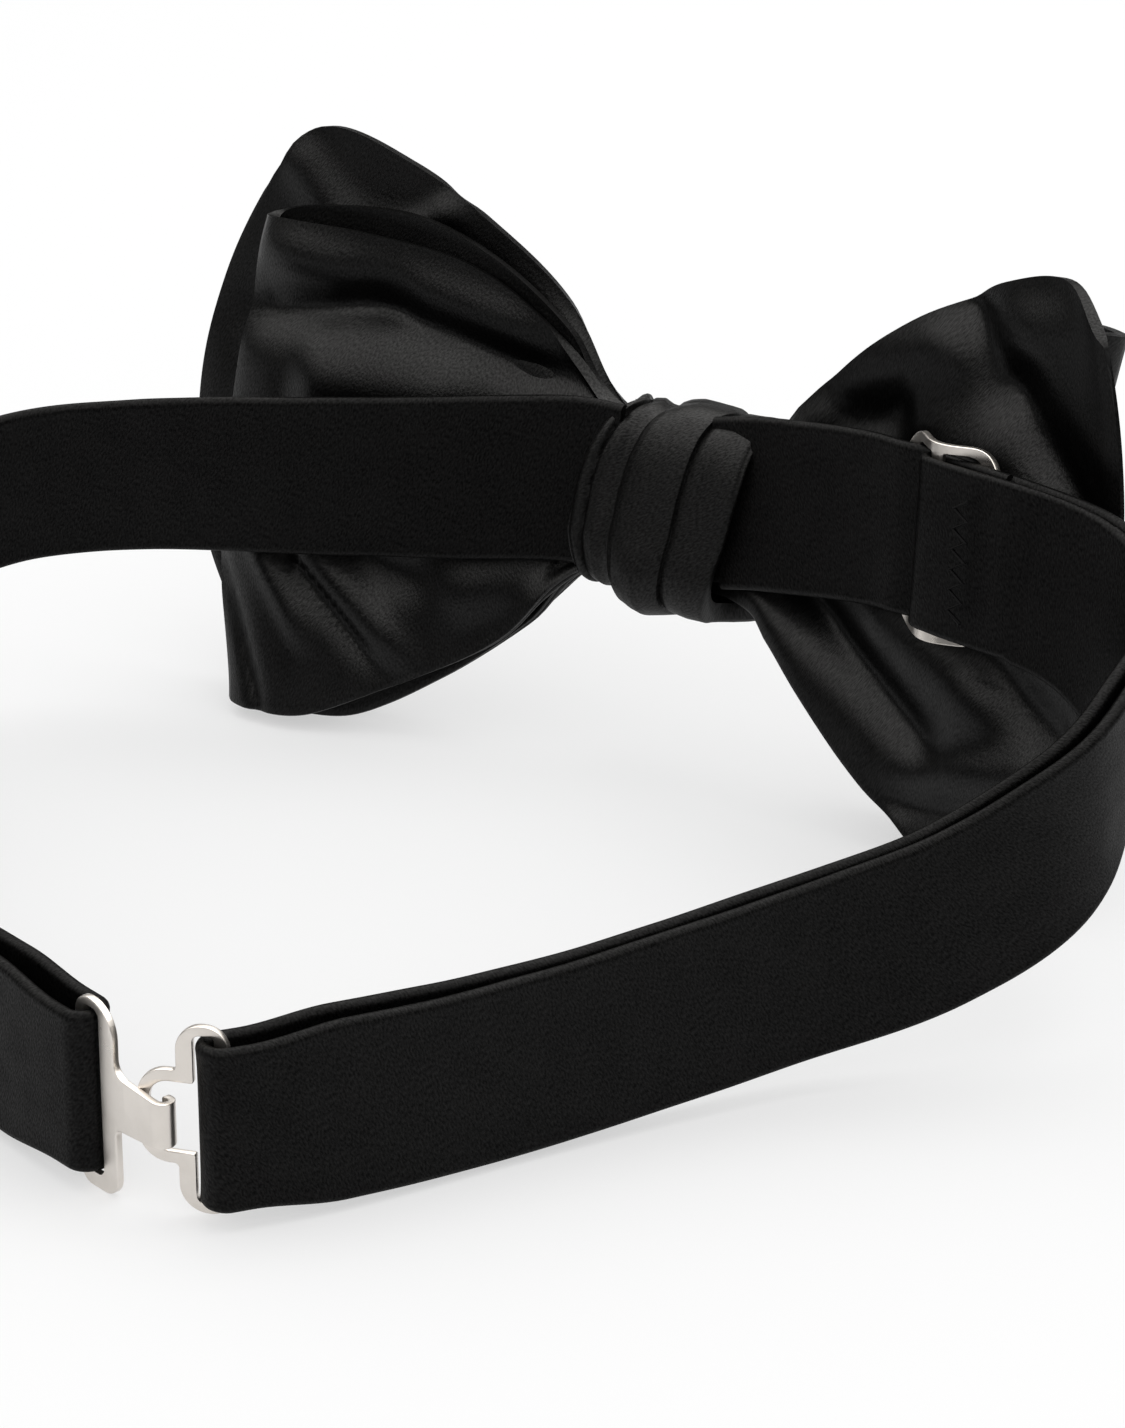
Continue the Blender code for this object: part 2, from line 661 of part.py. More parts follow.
def make_hook(path, body):
    """A plate with a slot for the strap and a tongue that bends back on the neck side."""
    bar_middle = path.frame(path.length)[0]
    heading = math.radians(HOOK_DIRECTION)
    flat = Vector((math.cos(heading), math.sin(heading), 0.0))
    outward = Vector((math.sin(heading), -math.cos(heading), 0.0))
    tilt = math.radians(HOOK_TILT)
    along = flat * math.cos(tilt) + outward * math.sin(tilt)
    through = outward * math.cos(tilt) - flat * math.sin(tilt)
    frame = axes_at(bar_middle, along, UP, through)
    top, slot = HOOK_HEIGHT / 2, CLASP_SLOT / 2
    edge, far = BAR_WIDTH / 2, HOOK_SLOT_FAR + BAR_WIDTH
    outline = ((-edge, -top, 0.6), (far, -top, 3.4), (far, top, 3.4), (-edge, top, 0.6))
    near = HOOK_SLOT_FAR
    window = ((edge, -slot, 0.3), (near, -slot, 0.3), (near, slot, 0.3), (edge, slot, 0.3))
    plate = stamped(outline, [window], frame)
    bend = HOOK_REACH - METAL / 2 - HOOK_BEND
    course = [(3.6, 0.0), (5.6, 0.25), (8.6, 0.5), (10.0, 0.4), (bend, 0.1)]
    for angle in np.linspace(90.0, -90.0, 8)[1:]:
        x = bend + HOOK_BEND * math.cos(math.radians(angle))
        course.append((x, 0.1 - HOOK_BEND + HOOK_BEND * math.sin(math.radians(angle))))
    course.append((bend - 0.9, 0.1 - 2 * HOOK_BEND))
    tongue = swept_strip([frame @ Vector((x, 0.0, n)) for x, n in course], UP, TONGUE_WIDTH, METAL)
    add_piece("hook", united([plate, tongue]), NICKEL, body)


def make_eye(path, body):
    """A flat ring: a tall slot for the strap that opens into a narrower loop for the hook."""
    bar_middle = path.frame(path.length)[0]
    heading = math.radians(EYE_DIRECTION)
    along = Vector((math.cos(heading), math.sin(heading), 0.0))
    outward = Vector((-math.sin(heading), math.cos(heading), 0.0))
    frame = axes_at(bar_middle, along, UP, -outward)
    top, slot, loop = EYE_HEIGHT / 2, CLASP_SLOT / 2, LOOP_OPENING / 2
    wall = EYE_WIRE
    edge, near, far = BAR_WIDTH / 2, EYE_SLOT_FAR, EYE_SLOT_FAR + wall
    out = EYE_REACH - wall
    outline = (
        (-edge, -top, 0.6), (far, -top, 2.6), (far, -loop - wall, 0.8), (EYE_REACH, -loop - wall, 3.0),
        (EYE_REACH, loop + wall, 3.0), (far, loop + wall, 0.8), (far, top, 2.6), (-edge, top, 0.6),
    )
    window = (
        (edge, -slot, 0.3), (near, -slot, 0.9), (near, -loop, 0.3), (out, -loop, 1.9),
        (out, loop, 1.9), (near, loop, 0.3), (near, slot, 0.9), (edge, slot, 0.3),
    )
    add_piece("eye", stamped(outline, [window], frame), NICKEL, body)


# ---------------------------------------------------------------- assembly


def build():
    fixed = Path(FIXED_ARM, inside=-1)
    adjusting = Path(ADJUSTING_ARM, inside=1)
    swing = adjusting.nearest(SWING_NEAR)

    bow = make_body("bow_body")
    band = make_body("band_body", TILT_AXIS_POINT, bow)
    slider = make_body("slider_body", adjusting.frame(slider_place(adjusting))[0], band)
    band_end = make_body("band_end_body", adjusting.frame(swing)[0], band)
    hook = make_body("hook_body", fixed.frame(fixed.length)[0], band)
    eye = make_body("eye_body", adjusting.frame(adjusting.length)[0], band_end)

    make_ribbon("back_ribbon", BACK_RIBBON, bow)
    make_ribbon("front_ribbon", FRONT_RIBBON, bow)
    make_knot(bow)
    make_neckband_centre(bow)
    make_fixed_arm(fixed, band)
    make_adjusting_arm(adjusting, swing, band)
    make_adjusting_end(adjusting, swing, band_end)
    make_slider(adjusting, slider)
    make_hook(fixed, hook)
    make_eye(adjusting, eye)


clear_scene()
PARTS = bpy.data.collections.new("bow_tie")
CUTTERS = bpy.data.collections.new("cutters")
for collection in (PARTS, CUTTERS):
    bpy.context.scene.collection.children.link(collection)
SATIN_BLACK = make_material("satin_black", (0.012, 0.011, 0.012), 0.38)
CANVAS = make_material("interlining", (0.55, 0.52, 0.46), 0.9)
THREAD_BLACK = make_material("thread_black", (0.02, 0.02, 0.02), 0.6)
NICKEL = make_material("satin_nickel", (0.62, 0.58, 0.53), 0.3, metallic=1.0)
build()
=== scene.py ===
"""Looks of a pre-tied bow tie: satin ribbons, pleated knot wrap, sewn neckband, nickel fittings.

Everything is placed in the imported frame: +Z up, +X to the wearer's left, the bow's front towards
-Y. Shapes are worked out in millimetres from the floor straight below the knot, and in_frame turns
them into places in the frame.
"""

import json
import math

import bmesh
import bpy
import numpy as np
from mathutils import Matrix, Vector, noise


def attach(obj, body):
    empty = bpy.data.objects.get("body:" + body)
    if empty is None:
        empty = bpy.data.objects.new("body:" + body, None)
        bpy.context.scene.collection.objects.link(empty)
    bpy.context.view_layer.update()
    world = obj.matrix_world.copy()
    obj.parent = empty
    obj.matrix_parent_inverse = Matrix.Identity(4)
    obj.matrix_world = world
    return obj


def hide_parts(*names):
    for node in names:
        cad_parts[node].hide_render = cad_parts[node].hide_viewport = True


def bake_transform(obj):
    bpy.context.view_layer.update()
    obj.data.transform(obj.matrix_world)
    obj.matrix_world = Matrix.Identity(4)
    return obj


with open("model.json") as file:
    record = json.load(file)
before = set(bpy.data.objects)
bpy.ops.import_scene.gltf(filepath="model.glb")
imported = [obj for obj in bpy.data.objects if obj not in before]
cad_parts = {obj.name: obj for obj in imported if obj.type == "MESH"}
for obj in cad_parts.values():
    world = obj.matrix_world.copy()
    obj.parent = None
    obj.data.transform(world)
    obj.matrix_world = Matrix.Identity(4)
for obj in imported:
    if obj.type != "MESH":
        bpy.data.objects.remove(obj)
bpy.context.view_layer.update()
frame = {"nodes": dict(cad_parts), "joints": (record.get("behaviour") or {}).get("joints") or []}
JOINTS = {joint["name"]: joint for joint in frame["joints"]}

MM = 0.001
UP = np.array([0.0, 0.0, 1.0])

# The hinge behind the knot, measured from the floor straight below the knot
TILT_AXIS = np.array([0.0, 3.9, 34.7])
BELOW_KNOT = np.array(JOINTS["band_tilt"]["pos_m"]) / MM - TILT_AXIS


def joint_point(name):
    """A hinge's place in millimetres from the floor below the knot."""
    return np.array(JOINTS[name]["pos_m"]) / MM - BELOW_KNOT


def in_frame(points):
    """Places in the frame, in metres, of points in millimetres from the floor below the knot."""
    return (np.asarray(points, float) + BELOW_KNOT) * MM


# Neckband: widths, thicknesses and lengths along the strap
BAND_WIDTH = 20.0
STRAP = 1.6
FLAT_HALF = 9.2
MIDDLE_HALF_WIDTH = 8.6
MIDDLE_THICKNESS = 1.4
LAYER_PITCH = 2.2
CLASP_SLOT = 18.6
FOLD_LAYER = 1.95
FOLD_REACH = 1.85
BAR_EASE = 48.0
SQUEEZE_EASE = 12.0
FOLD_BACK = 27.0
STEP = 1.0

# Slider, along the strap and from the arm's middle
SLIDER_PLACE = (-39.3, 10.1, 39.7)
SLIDER_HALF_WIDTH = 6.8
SLIDER_HALF_HEIGHT = 11.5
SIDE_BAR_HEIGHT = -0.9
ARCH_RISE = 2.6
ARCH_SPAN = 12.1
WEAVE_LIFT = 0.35
WEAVE_DIP = 1.0
WOVEN_ROWS = 20
END_LAYER_START = 23.0
STRAP_END_THICKNESS = 1.3

# Bow
KNOT_CENTRE = np.array([0.0, 0.0, 33.8])
LEAN = math.radians(13.4)
BOW_UP = np.array([0.0, -math.sin(LEAN), math.cos(LEAN)])
BOW_REAR = np.array([0.0, math.cos(LEAN), math.sin(LEAN)])
KNOT_HALF_WIDTH = 11.5
KNOT_HALF_HEIGHT = 11.8
KNOT_HALF_DEPTH = 7.6
KNOT_DROP = 1.6
KNOT_CORNER = 3.4
KNOT_MEAN_RADIUS = 9.7
RIBBON = 1.5

# Metal fittings
METAL = 0.8
BROKEN_EDGE = 0.11
HOOK_DIRECTION = 169.6
HOOK_TILT = 5.0
EYE_DIRECTION = 17.6

# Neckband centre lines from the knot outwards: x, y, z and the lean of the top edge in degrees
ADJUSTING_ARM = (
    (-6.0, 4.3, 34.8, 13.0),
    (-14.0, 5.0, 36.6, 11.0),
    (-30.0, 8.0, 39.2, 6.0),
    (-45.0, 11.6, 39.8, 5.0),
    (-61.0, 15.2, 38.6, 12.0),
    (-71.0, 22.0, 35.0, 12.0),
    (-74.2, 33.0, 30.0, 5.0),
    (-73.3, 43.0, 24.8, 2.0),
    (-66.0, 54.0, 18.4, 0.0),
    (-54.0, 67.6, 13.7, 0.0),
    (-39.7, 90.8, 10.8, 0.0),
    (-28.0, 110.0, 11.0, 0.0),
    (*joint_point("eye_pivot"), 0.0),
)
FIXED_ARM = (
    (6.0, 4.3, 34.0, 9.0),
    (14.0, 5.2, 34.0, 8.0),
    (26.0, 11.2, 33.4, 4.0),
    (42.5, 19.2, 32.7, -2.0),
    (60.5, 26.1, 31.3, -7.0),
    (74.0, 36.0, 29.4, -7.0),
    (80.0, 52.0, 25.5, -5.0),
    (77.0, 70.0, 19.5, -2.0),
    (64.0, 88.0, 14.5, 0.0),
    (44.0, 102.0, 11.4, 0.0),
    (22.0, 112.0, 10.7, 0.0),
    (9.1, 116.6, 11.0, 0.0),
    (*joint_point("hook_pivot"), 0.0),
)

# Ribbon centre lines in the bow's plane: along, rear, middle height, half height, bulge
BACK_RIBBON = (
    (-55.0, 10.2, -1.0, 29.0, -6.0),
    (-48.5, 7.2, -1.0, 34.8, -3.0),
    (-40.0, 5.0, -0.7, 32.8, 0.0),
    (-34.0, 4.2, -0.7, 29.6, 0.0),
    (-27.0, 3.5, -0.6, 24.8, 0.0),
    (-20.0, 2.7, -0.4, 18.8, 0.0),
    (-15.0, 2.2, -0.6, 13.6, 0.0),
    (-11.0, 1.95, -1.2, 9.6, 0.0),
    (0.0, 1.95, -1.6, 8.6, 0.0),
    (11.0, 1.95, -1.6, 9.6, 0.0),
    (20.0, 4.0, -2.4, 19.0, 0.0),
    (30.0, 6.8, -3.2, 25.0, 0.0),
    (42.0, 11.0, -5.6, 29.0, 0.0),
    (51.0, 12.4, -6.2, 29.6, 0.0),
    (55.5, 10.6, -6.2, 29.4, 2.5),
    (51.5, 8.4, -5.4, 30.4, 0.0),
    (39.0, 6.0, -4.4, 30.4, 0.0),
    (28.0, 3.9, -2.7, 25.4, 0.0),
    (18.0, 1.6, -1.7, 17.6, 0.0),
    (11.0, 0.0, -1.6, 9.6, 0.0),
    (-8.0, 0.0, -1.6, 8.6, 0.0),
)
FRONT_RIBBON = (
    (62.2, 3.6, -0.2, 25.0, 6.3),
    (55.0, 3.0, 0.2, 33.6, 3.0),
    (42.5, 1.6, 0.4, 31.0, 0.0),
    (31.0, 0.4, 0.2, 26.0, 0.0),
    (20.0, -1.0, -0.4, 19.0, 0.0),
    (11.0, -1.95, -1.6, 9.2, 0.0),
    (0.0, -1.95, -1.6, 8.6, 0.0),
    (-11.0, -1.95, -1.6, 9.2, 0.0),
    (-20.0, -0.9, -0.7, 19.6, 0.0),
    (-31.0, 0.6, -1.8, 27.8, 0.0),
    (-44.0, 1.8, -3.2, 30.6, 0.0),
    (-49.6, 0.4, -2.9, 30.8, 2.0),
    (-50.6, -2.9, -2.6, 30.4, 2.0),
    (-44.0, -5.6, -2.4, 30.2, 0.0),
    (-31.0, -6.8, -1.6, 27.2, 0.0),
    (-20.0, -5.8, -0.8, 19.6, 0.0),
    (-11.0, -3.9, -1.6, 9.2, 0.0),
    (8.0, -3.9, -1.6, 8.6, 0.0),
)


# ---------------------------------------------------------------- meshes


def unit(v):
    return v / np.linalg.norm(v, axis=-1, keepdims=True)


def catmull_rom(rows, step, size):
    """Rows on a Catmull-Rom curve through the given ones, step apart; the first size numbers are a point."""
    rows = np.array(rows, float)
    padded = np.vstack([2 * rows[0] - rows[1], rows, 2 * rows[-1] - rows[-2]])
    fine = []
    for a, b, c, d in zip(padded, padded[1:], padded[2:], padded[3:]):
        for u in np.linspace(0.0, 1.0, 24, endpoint=False):
            cubic = (3 * b - a - 3 * c + d) * u**3
            fine.append(0.5 * (2 * b + (c - a) * u + (2 * a - 5 * b + 4 * c - d) * u**2 + cubic))
    fine = np.array([*fine, rows[-1]])
    length = np.r_[0.0, np.cumsum(np.linalg.norm(np.diff(fine[:, :size], axis=0), axis=1))]
    places = np.linspace(0.0, length[-1], max(2, round(length[-1] / step) + 1))
    return places, np.stack([np.interp(places, length, column) for column in fine.T], axis=1)


def smoothstep(s, start, end):
    u = np.clip((s - start) / (end - start), 0.0, 1.0)
    return u * u * (3.0 - 2.0 * u)


def wander(s, scale, seed):
    """Smooth noise between about -1 and 1 that changes over scale millimetres."""
    return np.array([noise.noise(Vector((float(x) / scale, seed * 7.3, 0.5))) for x in np.atleast_1d(s)])


def grid_piece(name, points, uv, material, around=True, ends_capped=True):
    """A mesh over rows of points. around joins each row's end to its start, and uv is in millimetres.

    uv has one column more than points where the rows close.
    """
    rows, columns = points.shape[:2]
    count = columns if around else columns - 1
    i, j = np.meshgrid(np.arange(rows - 1), np.arange(count), indexing="ij")
    after = (j + 1) % columns
    here, below = i * columns, (i + 1) * columns
    quads = np.stack([here + j, here + after, below + after, below + j], -1)
    corner_uv = np.stack([uv[i, j], uv[i, j + 1], uv[i + 1, j + 1], uv[i + 1, j]], axis=2)
    faces = quads.reshape(-1, 4).tolist()
    caps = []
    if around and ends_capped:
        caps = [list(range(columns))[::-1], list(range((rows - 1) * columns, rows * columns))]
    mesh = bpy.data.meshes.new(name)
    mesh.from_pydata(in_frame(points.reshape(-1, 3)).tolist(), [], faces + caps)
    layer = mesh.uv_layers.new(name="weave")
    flat = corner_uv.reshape(-1, 2)
    if caps:
        flat = np.vstack([flat, uv[0, :columns][::-1], uv[-1, :columns]])
    layer.data.foreach_set("uv", flat.astype(np.float32).ravel())
    work = bmesh.new()
    work.from_mesh(mesh)
    if work.calc_volume(signed=True) < 0.0:
        bmesh.ops.reverse_faces(work, faces=work.faces)
    work.to_mesh(mesh)
    work.free()
    mesh.shade_smooth()
    mesh.set_sharp_from_angle(angle=math.radians(55.0))
    mesh.materials.append(material)
    piece = bpy.data.objects.new(name, mesh)
    bpy.context.scene.collection.objects.link(piece)
    return piece


# ---------------------------------------------------------------- materials


class Nodes:
    """Short ways to add and link shader nodes."""

    def __init__(self, name):
        self.material = bpy.data.materials.new(name)
        self.material.use_nodes = True
        self.tree = self.material.node_tree
        self.shader = self.tree.nodes["Principled BSDF"]

    def add(self, kind, inputs=None, **settings):
        node = self.tree.nodes.new(kind)
        for key, value in settings.items():
            setattr(node, key, value)
        for key, value in (inputs or {}).items():
            if isinstance(value, bpy.types.NodeSocket):
                self.tree.links.new(value, node.inputs[key])
            else:
                node.inputs[key].default_value = value
        return node

    def math(self, operation, a, b=0.0):
        return self.add("ShaderNodeMath", {0: a, 1: b}, operation=operation).outputs[0]

    def shade(self, **inputs):
        for key, value in inputs.items():
            socket = self.shader.inputs[key.replace("_", " ")]
            if isinstance(value, bpy.types.NodeSocket):
                self.tree.links.new(value, socket)
            else:
                socket.default_value = value

    def ramp(self, value, low, high, out_low, out_high):
        found = self.add(
            "ShaderNodeMapRange",
            {"Value": value, "From Min": low, "From Max": high, "To Min": out_low, "To Max": out_high},
        )
        return found.outputs["Result"]


def satin(name, dark, light, roughness, specular, grain_size=0.1, relief=0.04):
    """Warp-faced satin: fine steep floats of thread over a smooth ground, with slubs and a soft gloss.

    The weave runs in the piece's own millimetres, from its UV map.
    """
    nodes = Nodes(name)
    uv = nodes.add("ShaderNodeUVMap", uv_map="weave").outputs["UV"]
    turned = nodes.add("ShaderNodeMapping", {"Vector": uv, "Rotation": (0.0, 0.0, math.radians(68.0))})
    floats = nodes.add("ShaderNodeMapping", {"Vector": turned.outputs["Vector"], "Scale": (1.0, 0.42, 1.0)})
    grain = nodes.add(
        "ShaderNodeTexNoise", {"Vector": floats.outputs["Vector"], "Scale": 0.5 / grain_size, "Detail": 2.5}
    )
    slub = nodes.add("ShaderNodeTexNoise", {"Vector": uv, "Scale": 0.22, "Detail": 2.0})
    weave = nodes.ramp(grain.outputs["Fac"], 0.32, 0.7, 0.0, 1.0)
    cloud = nodes.ramp(slub.outputs["Fac"], 0.3, 0.7, -0.15, 0.15)
    mix = nodes.add("ShaderNodeMix", {"Factor": nodes.math("ADD", weave, cloud)}, data_type="RGBA")
    mix.inputs["A"].default_value = (*dark, 1.0)
    mix.inputs["B"].default_value = (*light, 1.0)
    bump = nodes.add("ShaderNodeBump", {"Height": weave, "Strength": 0.5, "Distance": relief * MM})
    facing = nodes.add("ShaderNodeLayerWeight", {"Blend": 0.5}).outputs["Facing"]
    gloss = nodes.ramp(facing, 0.35, 0.85, specular, specular * 0.15)
    shine = nodes.math("MULTIPLY", gloss, nodes.ramp(weave, 0.0, 1.0, 0.6, 1.4))
    rough = nodes.ramp(slub.outputs["Fac"], 0.3, 0.7, roughness + 0.04, roughness - 0.04)
    nodes.shade(
        Base_Color=mix.outputs["Result"], Roughness=rough, Normal=bump.outputs["Normal"],
        Specular_IOR_Level=shine, Sheen_Weight=0.004, Sheen_Roughness=0.3,
    )
    nodes.material.diffuse_color = (*dark, 1.0)
    return nodes.material


def thread_material():
    nodes = Nodes("sewing_thread")
    place = nodes.add("ShaderNodeTexCoord").outputs["Object"]
    ply = nodes.add("ShaderNodeTexNoise", {"Vector": place, "Scale": 9000.0, "Detail": 2.0})
    bump = nodes.add("ShaderNodeBump", {"Height": ply.outputs["Fac"], "Strength": 0.4, "Distance": 0.03 * MM})
    nodes.shade(
        Base_Color=(0.0014, 0.0014, 0.0015, 1.0), Roughness=0.6, Normal=bump.outputs["Normal"],
        Specular_IOR_Level=0.08,
    )
    return nodes.material


def nickel_material():
    """Satin nickel plate: tumbled, with faint cloudy wear and fine specks."""
    nodes = Nodes("satin_nickel")
    place = nodes.add("ShaderNodeTexCoord").outputs["Object"]
    cloud = nodes.add("ShaderNodeTexNoise", {"Vector": place, "Scale": 260.0, "Detail": 4.0})
    speck = nodes.add("ShaderNodeTexNoise", {"Vector": place, "Scale": 4200.0, "Detail": 2.0})
    rough = nodes.ramp(cloud.outputs["Fac"], 0.3, 0.7, 0.26, 0.36)
    wear = nodes.ramp(cloud.outputs["Fac"], 0.35, 0.7, 0.0, 1.0)
    mix = nodes.add("ShaderNodeMix", {"Factor": wear}, data_type="RGBA")
    mix.inputs["A"].default_value = (0.66, 0.62, 0.575, 1.0)
    mix.inputs["B"].default_value = (0.74, 0.70, 0.655, 1.0)
    bump = nodes.add(
        "ShaderNodeBump", {"Height": speck.outputs["Fac"], "Strength": 0.12, "Distance": 0.02 * MM}
    )
    nodes.shade(
        Base_Color=mix.outputs["Result"], Metallic=1.0, Roughness=rough, Normal=bump.outputs["Normal"],
    )
    return nodes.material


# ---------------------------------------------------------------- neckband


class Path:
    """A strap's centre line with its width direction and the direction to the neck."""

    def __init__(self, rows, neck_side):
        self.places, self.rows = catmull_rom(rows, 0.5, 3)
        self.length = self.places[-1]
        self.neck_side = neck_side

    def columns(self, s):
        return np.stack([np.interp(s, self.places, column) for column in self.rows.T], axis=1)

    def nearest(self, point):
        return self.places[np.linalg.norm(self.rows[:, :3] - np.array(point), axis=1).argmin()]

    def frames(self, s, offset):
        """Centres offset to the neck side, width and neck directions, and half widths, at places s."""
        s = np.asarray(s, float)
        found = self.columns(s)
        low, high = np.clip(s - 1.5, 0.0, None), np.clip(s + 1.5, None, self.length)
        tangent = unit(self.columns(high)[:, :3] - self.columns(low)[:, :3])
        neck = unit(np.cross(tangent, UP) * self.neck_side)
        lean = np.radians(found[:, 3:4])
        width = UP * np.cos(lean) - neck * np.sin(lean)
        width = unit(width - tangent * (width * tangent).sum(1, keepdims=True))
        neck = unit(np.cross(tangent, width) * self.neck_side)
        offset = np.broadcast_to(offset, s.shape)[:, None]
        return found[:, :3] + neck * offset, width, neck, self.half_width(s)

    def half_width(self, s):
        squeezed = (BAND_WIDTH - CLASP_SLOT) / 2 + 0.3
        return BAND_WIDTH / 2 - squeezed * smoothstep(s, self.length - SQUEEZE_EASE, self.length - 2.0)


def ripple(path, s, seed):
    """How a pressed strap strays from its centre line."""
    calm = smoothstep(path.length - s, 2.0, 14.0)
    return 0.22 * wander(s, 17.0, seed) * calm


def folded(path, start, back_to, seed):
    """Frames of a strap from start to the bar that ends its path, round it and back on the neck side."""
    def offset(s, near_bar, away):
        return away + (near_bar - away) * smoothstep(s, path.length - BAR_EASE, path.length)

    out = np.arange(start, path.length, STEP)
    back = np.arange(back_to, path.length, STEP)[::-1]
    outer = path.frames(out, offset(out, -FOLD_LAYER, 0.0) + ripple(path, out, seed))
    inner = path.frames(back, offset(back, FOLD_LAYER, LAYER_PITCH) + ripple(path, back, seed))
    inner = (inner[0], inner[1], -inner[2], inner[3])
    middle, width, neck, half = [part[0] for part in path.frames([path.length], 0.0)]
    tangent = np.cross(width, neck) * path.neck_side
    angles = np.radians(np.linspace(-84.0, 84.0, 15))
    sine, cosine = np.sin(angles)[:, None], np.cos(angles)[:, None]
    centre = middle + neck * FOLD_LAYER * sine + tangent * FOLD_REACH * cosine
    through = -(neck * sine + tangent * cosine)
    turn = (centre, np.tile(width, (15, 1)), through, np.full(15, half))
    return tuple(np.concatenate(parts) for parts in zip(outer, turn, inner))


def tube_section(thickness):
    """(side share, rounding out, through) round a pressed tube: flat sides, rolled edges."""
    flat = np.sin(np.linspace(-math.pi / 2, math.pi / 2, 23))
    edge = np.radians(np.linspace(-90.0, 90.0, 9)[1:-1])
    swell = 1.0 - 0.16 * (1.0 - np.abs(flat) ** 6)
    radius = thickness / 2
    side = [(x, 0.0, -radius * k) for x, k in zip(flat, swell)]
    right = [(1.0, radius * math.cos(a), radius * math.sin(a)) for a in edge]
    back = [(x, 0.0, radius * k) for x, k in zip(flat[::-1], swell[::-1])]
    left = [(-1.0, -radius * math.cos(a), -radius * math.sin(a)) for a in edge]
    return np.array(side + right + back + left)


def strap(name, frames, material, thickness=STRAP, seed=1):
    """A pressed satin tube along the frames."""
    centre, width, through, half = frames
    section = tube_section(thickness)
    run = np.r_[0.0, np.cumsum(np.linalg.norm(np.diff(centre, axis=0), axis=1))]
    radius = thickness / 2
    share, out, depth = section.T
    across = share[None] * (half[:, None] - radius) + out[None]
    edge_drift = np.where(share > 0, 1.0, 0.0)[None] * wander(run, 9.0, seed + 1)[:, None]
    edge_drift += np.where(share < 0, 1.0, 0.0)[None] * wander(run, 9.0, seed + 2)[:, None]
    across = across + 0.12 * edge_drift * np.abs(share[None]) ** 3
    thick = np.tile(depth[None], (len(run), 1))
    points = centre[:, None] + width[:, None] * across[..., None] + through[:, None] * thick[..., None]
    outline = np.c_[share * FLAT_HALF + out, depth]
    outline = np.vstack([outline, [share[0] * FLAT_HALF, depth[0]]])
    ring = np.r_[0.0, np.cumsum(np.linalg.norm(np.diff(outline, axis=0), axis=1))]
    uv = np.stack(np.broadcast_arrays(ring[None], run[:, None]), axis=-1)
    return grid_piece(name, points, uv, material)


# ---------------------------------------------------------------- bow


def ribbon_grid(rows, step=0.8, columns=56):
    """Middle surface of a ribbon: points, and each point's place across it from -1 to 1."""
    _, fine = catmull_rom(rows, step, 2)
    share = np.sin(np.linspace(-math.pi / 2, math.pi / 2, columns))
    share = 0.5 * share + 0.5 * np.linspace(-1.0, 1.0, columns)
    along, rear, middle, half, bulge = [column[:, None] for column in fine.T]
    x = along + bulge * (1.0 - share[None] ** 2)
    up = middle + half * share[None]
    return np.stack([x, up, np.broadcast_to(rear, x.shape)], axis=-1), share


def soft_fold(x, up, fold):
    """Height of one fold: a ridge (or a valley, if height is negative) along a straight line."""
    x0, up0, x1, up1, reach, height = fold
    line = np.array([x1 - x0, up1 - up0])
    length = np.linalg.norm(line)
    line = line / length
    t = ((x - x0) * line[0] + (up - up0) * line[1]) / length
    away = (x - x0) * -line[1] + (up - up0) * line[0]
    ends = smoothstep(t, -0.25, 0.15) * (1.0 - smoothstep(t, 0.8, 1.25))
    return height * ends * np.exp(-((away / reach) ** 2))


def gathers(x, share, count, depth, phase):
    """Pleats that run out of the knot and die away."""
    near = np.exp(-(((np.abs(x) - 10.0) / 11.0) ** 2)) * smoothstep(np.abs(x), 7.0, 13.0)
    return depth * near * np.cos(share * math.pi * count + phase)


def bow_places(points):
    """The bow's (along, up, rear) as points in the frame."""
    return (
        KNOT_CENTRE
        + points[..., :1] * np.array([1.0, 0.0, 0.0])
        + points[..., 1:2] * BOW_UP
        + points[..., 2:3] * BOW_REAR
    )


def grid_normals(points):
    """Unit normals of a surface given as a grid."""
    return unit(np.cross(np.gradient(points, axis=0), np.gradient(points, axis=1)))


def ribbon_piece(name, middle, material, thickness=RIBBON):
    """A two-layer ribbon over a middle surface, with a seam groove along both edges."""
    rows, columns = middle.shape[:2]
    normal = grid_normals(middle)
    outward = unit(middle[:, -1] - middle[:, -2]), unit(middle[:, 0] - middle[:, 1])
    radius = thickness / 2
    share = np.linspace(-1.0, 1.0, columns)
    swell = radius * (0.86 + 0.14 * np.abs(share) ** 8)[None, :, None]
    end = np.minimum(np.arange(rows), np.arange(rows)[::-1])
    pinch = np.sqrt(np.clip((end + 0.35) / 2.0, 0.0, 1.0))[:, None, None]
    front = middle + normal * swell * pinch
    back = middle - normal * swell * pinch

    def edge(k, side, sign):
        out = outward[side][:, None]
        n = normal[:, k : k + 1] * sign
        start = middle[:, k : k + 1]
        thin = pinch * radius
        half = [(0.45, 0.92), (0.62, 0.55), (0.5, 0.2)]
        ring = [*half, (0.12, 0.0), *((o, -d) for o, d in reversed(half))]
        return np.concatenate([start + out * radius * o + n * thin * d for o, d in ring], axis=1)

    points = np.concatenate([front, edge(-1, 0, 1.0), back[:, ::-1], edge(0, 1, -1.0)], axis=1)
    closed = np.concatenate([points, points[:, :1]], axis=1)
    round_it = np.cumsum(np.linalg.norm(np.diff(closed, axis=1), axis=2), axis=1)
    across = np.concatenate([np.zeros((rows, 1)), round_it], axis=1)
    across -= across[:, columns // 2 : columns // 2 + 1]
    run = np.r_[0.0, np.cumsum(np.linalg.norm(np.diff(middle[:, columns // 2], axis=0), axis=1))]
    uv = np.stack([across, np.broadcast_to(run[:, None], across.shape)], axis=-1)
    return grid_piece(name, points, uv, material)


